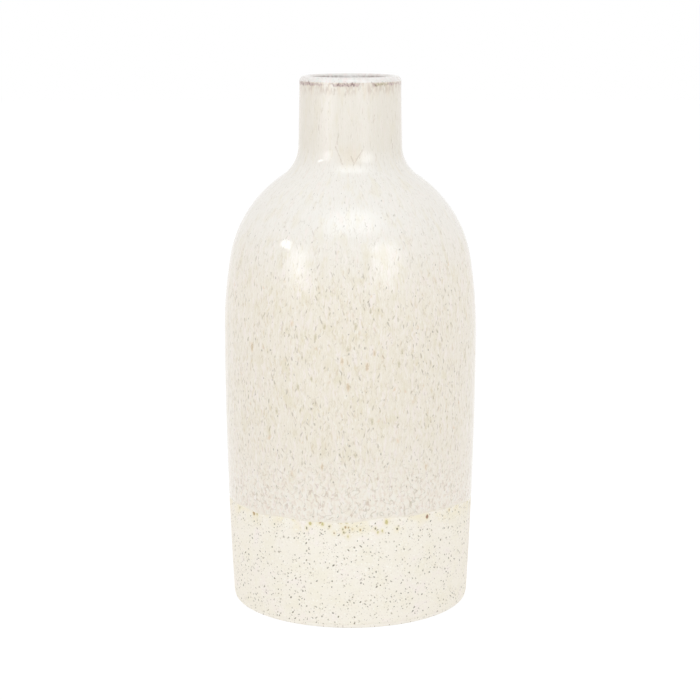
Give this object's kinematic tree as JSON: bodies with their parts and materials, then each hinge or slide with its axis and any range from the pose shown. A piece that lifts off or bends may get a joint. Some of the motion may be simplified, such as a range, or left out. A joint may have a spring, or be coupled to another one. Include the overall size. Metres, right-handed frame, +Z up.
{
  "type": "bottle vase",
  "caption": "Bottle vase: tapered round body, domed shoulder and short straight neck with a rounded lip, glossy speckled glaze above a matt band at the base.",
  "frame": {"origin": "centre of the plane that the foot stands on", "axes": "+Z up along the axis of the body, neck and mouth; the side with the long tan streaks and the low part of the glaze line faces -Y"},
  "size_m": [0.12, 0.12, 0.25],
  "materials": {
    "clay": "bare fired stoneware, matt, fine dark specks",
    "liner_glaze": "gloss, off-white",
    "reactive_glaze": "gloss, cream with tan streaks and flecks that run down the wall",
    "matt_glaze": "matt, pale cream with dark brown specks"
  },
  "bodies": {
    "root": {"stoneware_body": "clay", "liner_glaze": "liner_glaze", "reactive_glaze": "reactive_glaze", "base_glaze": "matt_glaze", "recess_glaze": "matt_glaze"}
  },
  "joints": []
}
